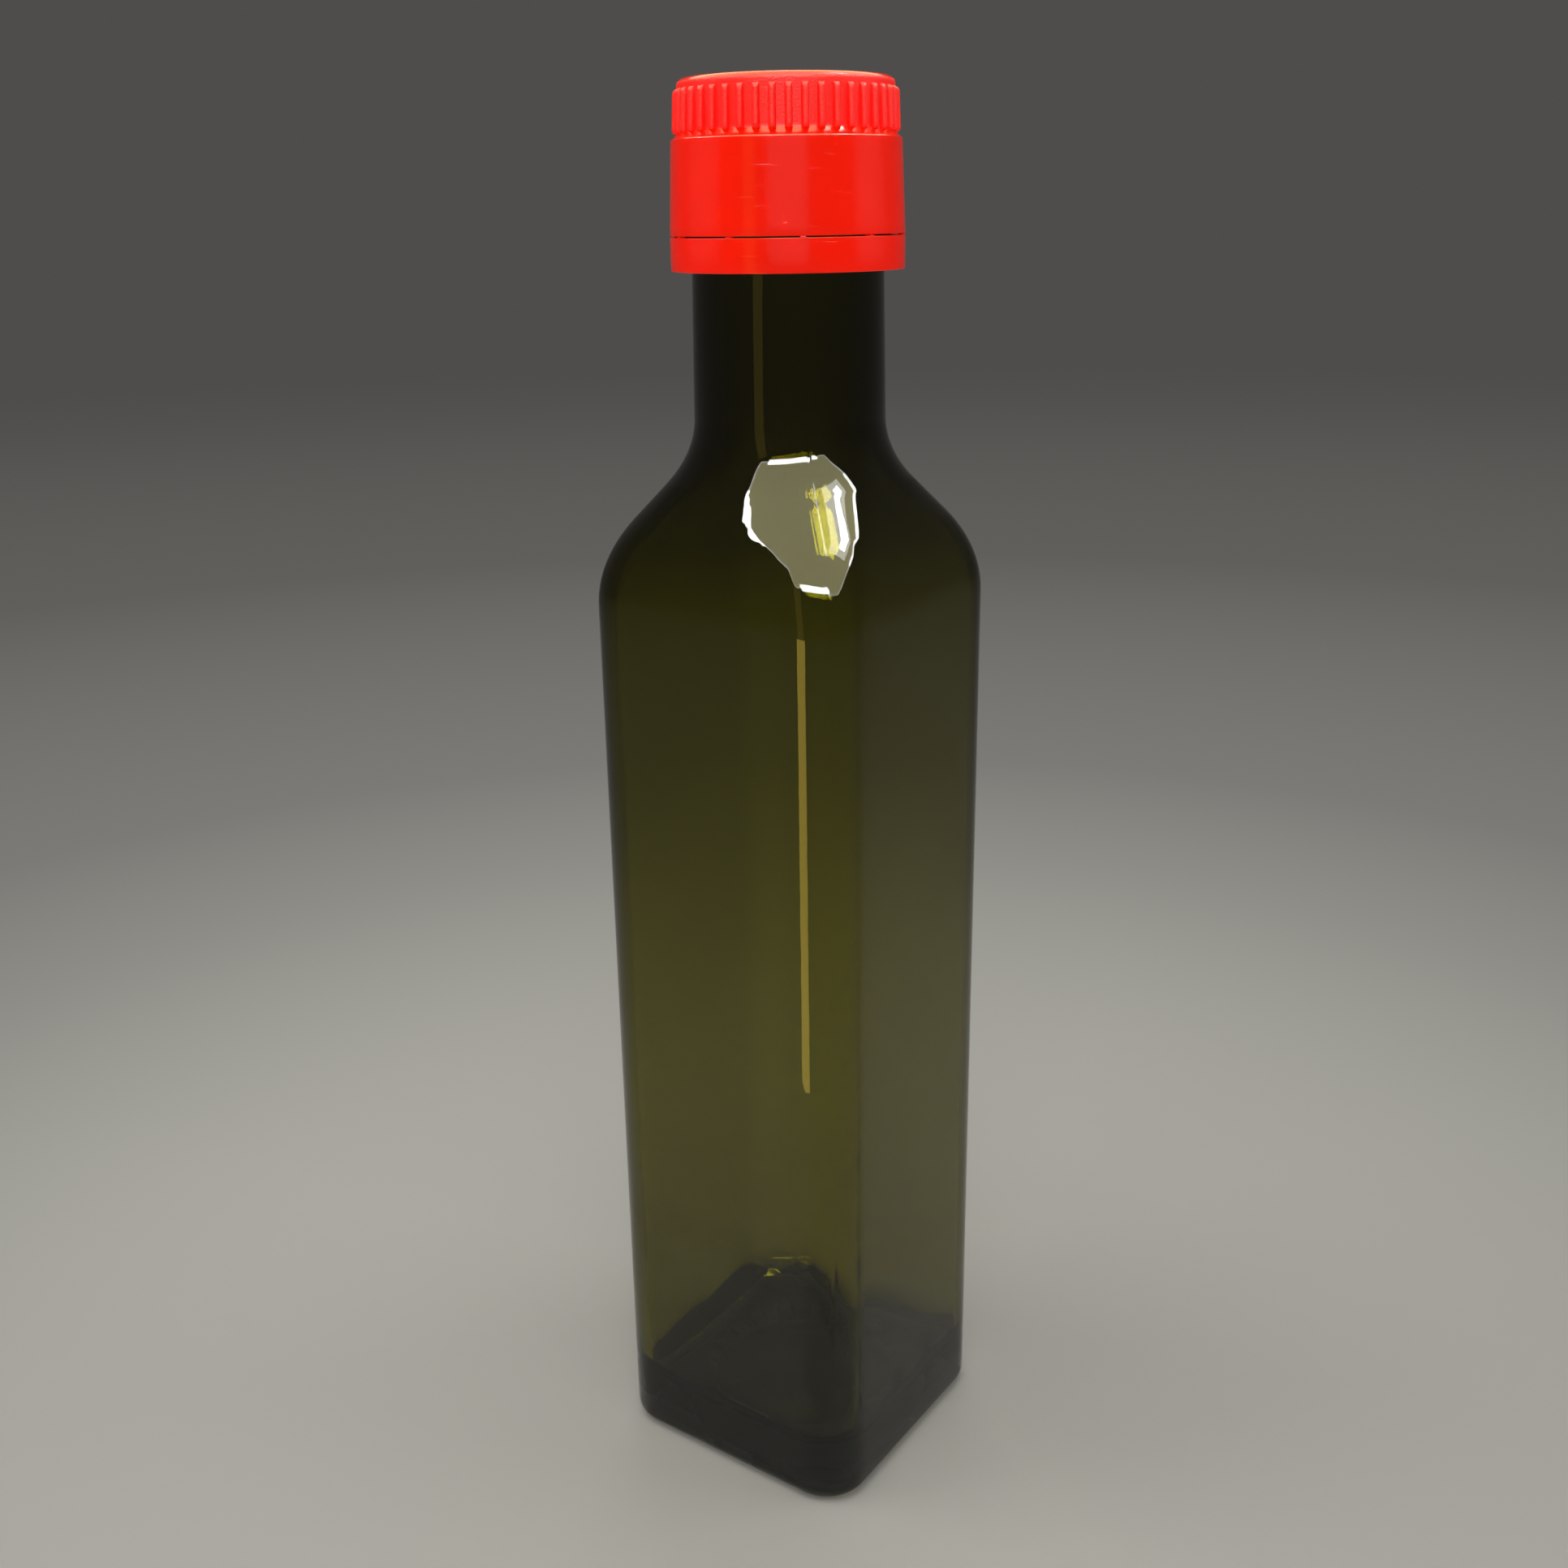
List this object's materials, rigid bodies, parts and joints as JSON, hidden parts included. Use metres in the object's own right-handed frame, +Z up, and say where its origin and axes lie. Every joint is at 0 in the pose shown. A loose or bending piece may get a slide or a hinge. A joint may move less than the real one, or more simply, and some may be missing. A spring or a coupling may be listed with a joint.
{
  "type": "square glass oil bottle",
  "caption": "Square dark green glass bottle for oil with a round neck, a pouring insert and a red ribbed screw cap over a tamper band.",
  "frame": {"origin": "centre of the base, on the plane that the bottle stands on", "axes": "+Z up along the neck and the cap's screw axis, X and Y square to the flat sides"},
  "size_m": [0.0466, 0.0466, 0.22],
  "materials": {
    "green_glass": "dark olive green bottle glass, smooth and glossy",
    "natural_polyethylene": "milky natural polyethylene, satin",
    "white_foam": "fine closed-cell polyethylene foam",
    "red_polypropylene": "bright red moulded polypropylene, smooth skirt and ribbed crown",
    "red_polypropylene_band": "the same red polypropylene as the cap"
  },
  "bodies": {
    "glass": {"bottle": "green_glass", "pourer_insert": "natural_polyethylene"},
    "seal": {"cap_liner": "white_foam"},
    "cap": {"screw_cap": "red_polypropylene"},
    "band": {"tamper_band": "red_polypropylene_band"}
  },
  "joints": [
    {"name": "cap_lift", "type": "slide", "parent": "glass", "child": "seal", "axis": [0, 0, 1], "range_m": [0, 0.0261]},
    {"name": "cap_turn", "type": "hinge", "parent": "seal", "child": "cap", "pos_m": [0, 0, 0.2], "axis": [0, 0, 1], "range_deg": [0, 2340]},
    {"name": "band_spin", "type": "hinge", "parent": "glass", "child": "band", "pos_m": [0, 0, 0.197], "axis": [0, 0, 1], "continuous": true}
  ],
  "couplings": [
    {"joint": "cap_lift", "follows": "cap_turn", "m_per_rad": 0.00063662}
  ]
}
